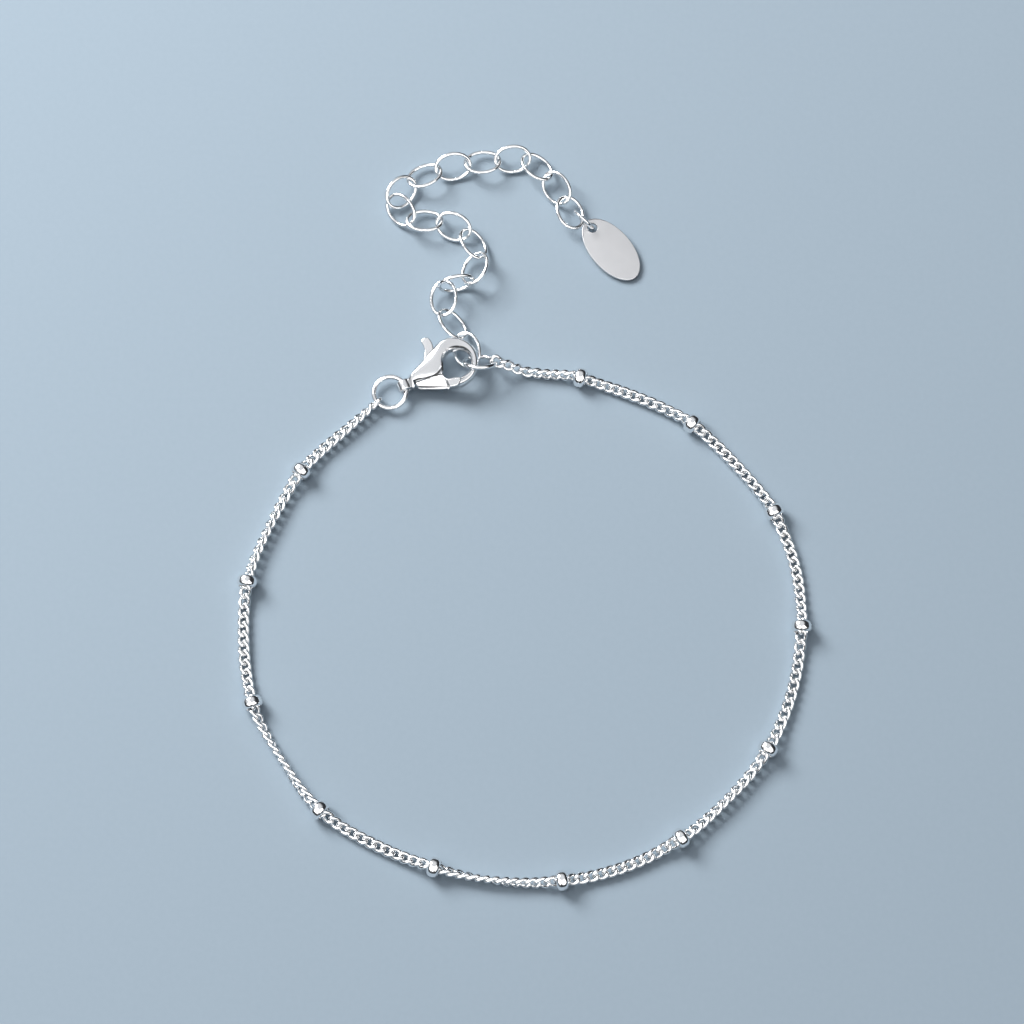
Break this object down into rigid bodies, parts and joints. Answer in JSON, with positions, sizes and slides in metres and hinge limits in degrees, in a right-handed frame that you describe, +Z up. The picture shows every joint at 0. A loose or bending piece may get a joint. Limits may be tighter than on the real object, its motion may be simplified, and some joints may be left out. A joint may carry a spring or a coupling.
{
  "type": "chain bracelet",
  "caption": "Fine silver curb-chain bracelet with small polished beads, a lobster clasp with a sprung lever, an oval-link extender chain and a plain oval tag, lying fastened in a loop.",
  "frame": {"origin": "middle of the bottom of the bounding box, on the surface that the bracelet lies on", "axes": "+Z up from the surface, +Y from the middle of the loop towards the clasp and the extender, +X to the right with +Y pointing away"},
  "size_m": [0.0564, 0.0772, 0.0033],
  "materials": {
    "polished_silver": "bright polished silver with fine handling scratches",
    "satin_silver": "satin silver with a fine even grain"
  },
  "bodies": {
    "bracelet": {"clasp_body": "polished_silver", "jump_ring": "polished_silver", "end_ring": "polished_silver", "extender_link_01": "polished_silver", "extender_link_02": "polished_silver", "extender_link_03": "polished_silver", "extender_link_04": "polished_silver", "extender_link_05": "polished_silver", "extender_link_06": "polished_silver", "extender_link_07": "polished_silver", "extender_link_08": "polished_silver", "extender_link_09": "polished_silver", "extender_link_10": "polished_silver", "extender_link_11": "polished_silver", "extender_link_12": "polished_silver", "extender_link_13": "polished_silver", "extender_link_14": "polished_silver", "extender_link_15": "polished_silver", "extender_link_16": "polished_silver", "extender_link_17": "polished_silver", "tag_ring": "polished_silver", "tag": "satin_silver", "curb_chain": "polished_silver", "bead_01": "polished_silver", "bead_02": "polished_silver", "bead_03": "polished_silver", "bead_04": "polished_silver", "bead_05": "polished_silver", "bead_06": "polished_silver", "bead_07": "polished_silver", "bead_08": "polished_silver", "bead_09": "polished_silver", "bead_10": "polished_silver", "bead_11": "polished_silver", "bead_12": "polished_silver"},
    "lever": {"clasp_lever": "polished_silver"}
  },
  "joints": [
    {"name": "lever_pivot", "type": "hinge", "parent": "bracelet", "child": "lever", "pos_m": [-0.00982, 0.01399, 0.00132], "axis": [-0.1285, -0.0535, 0.9903], "range_deg": [0, 22], "stiffness_Nm_per_rad": 0.0015, "springref_deg": -20.05}
  ]
}
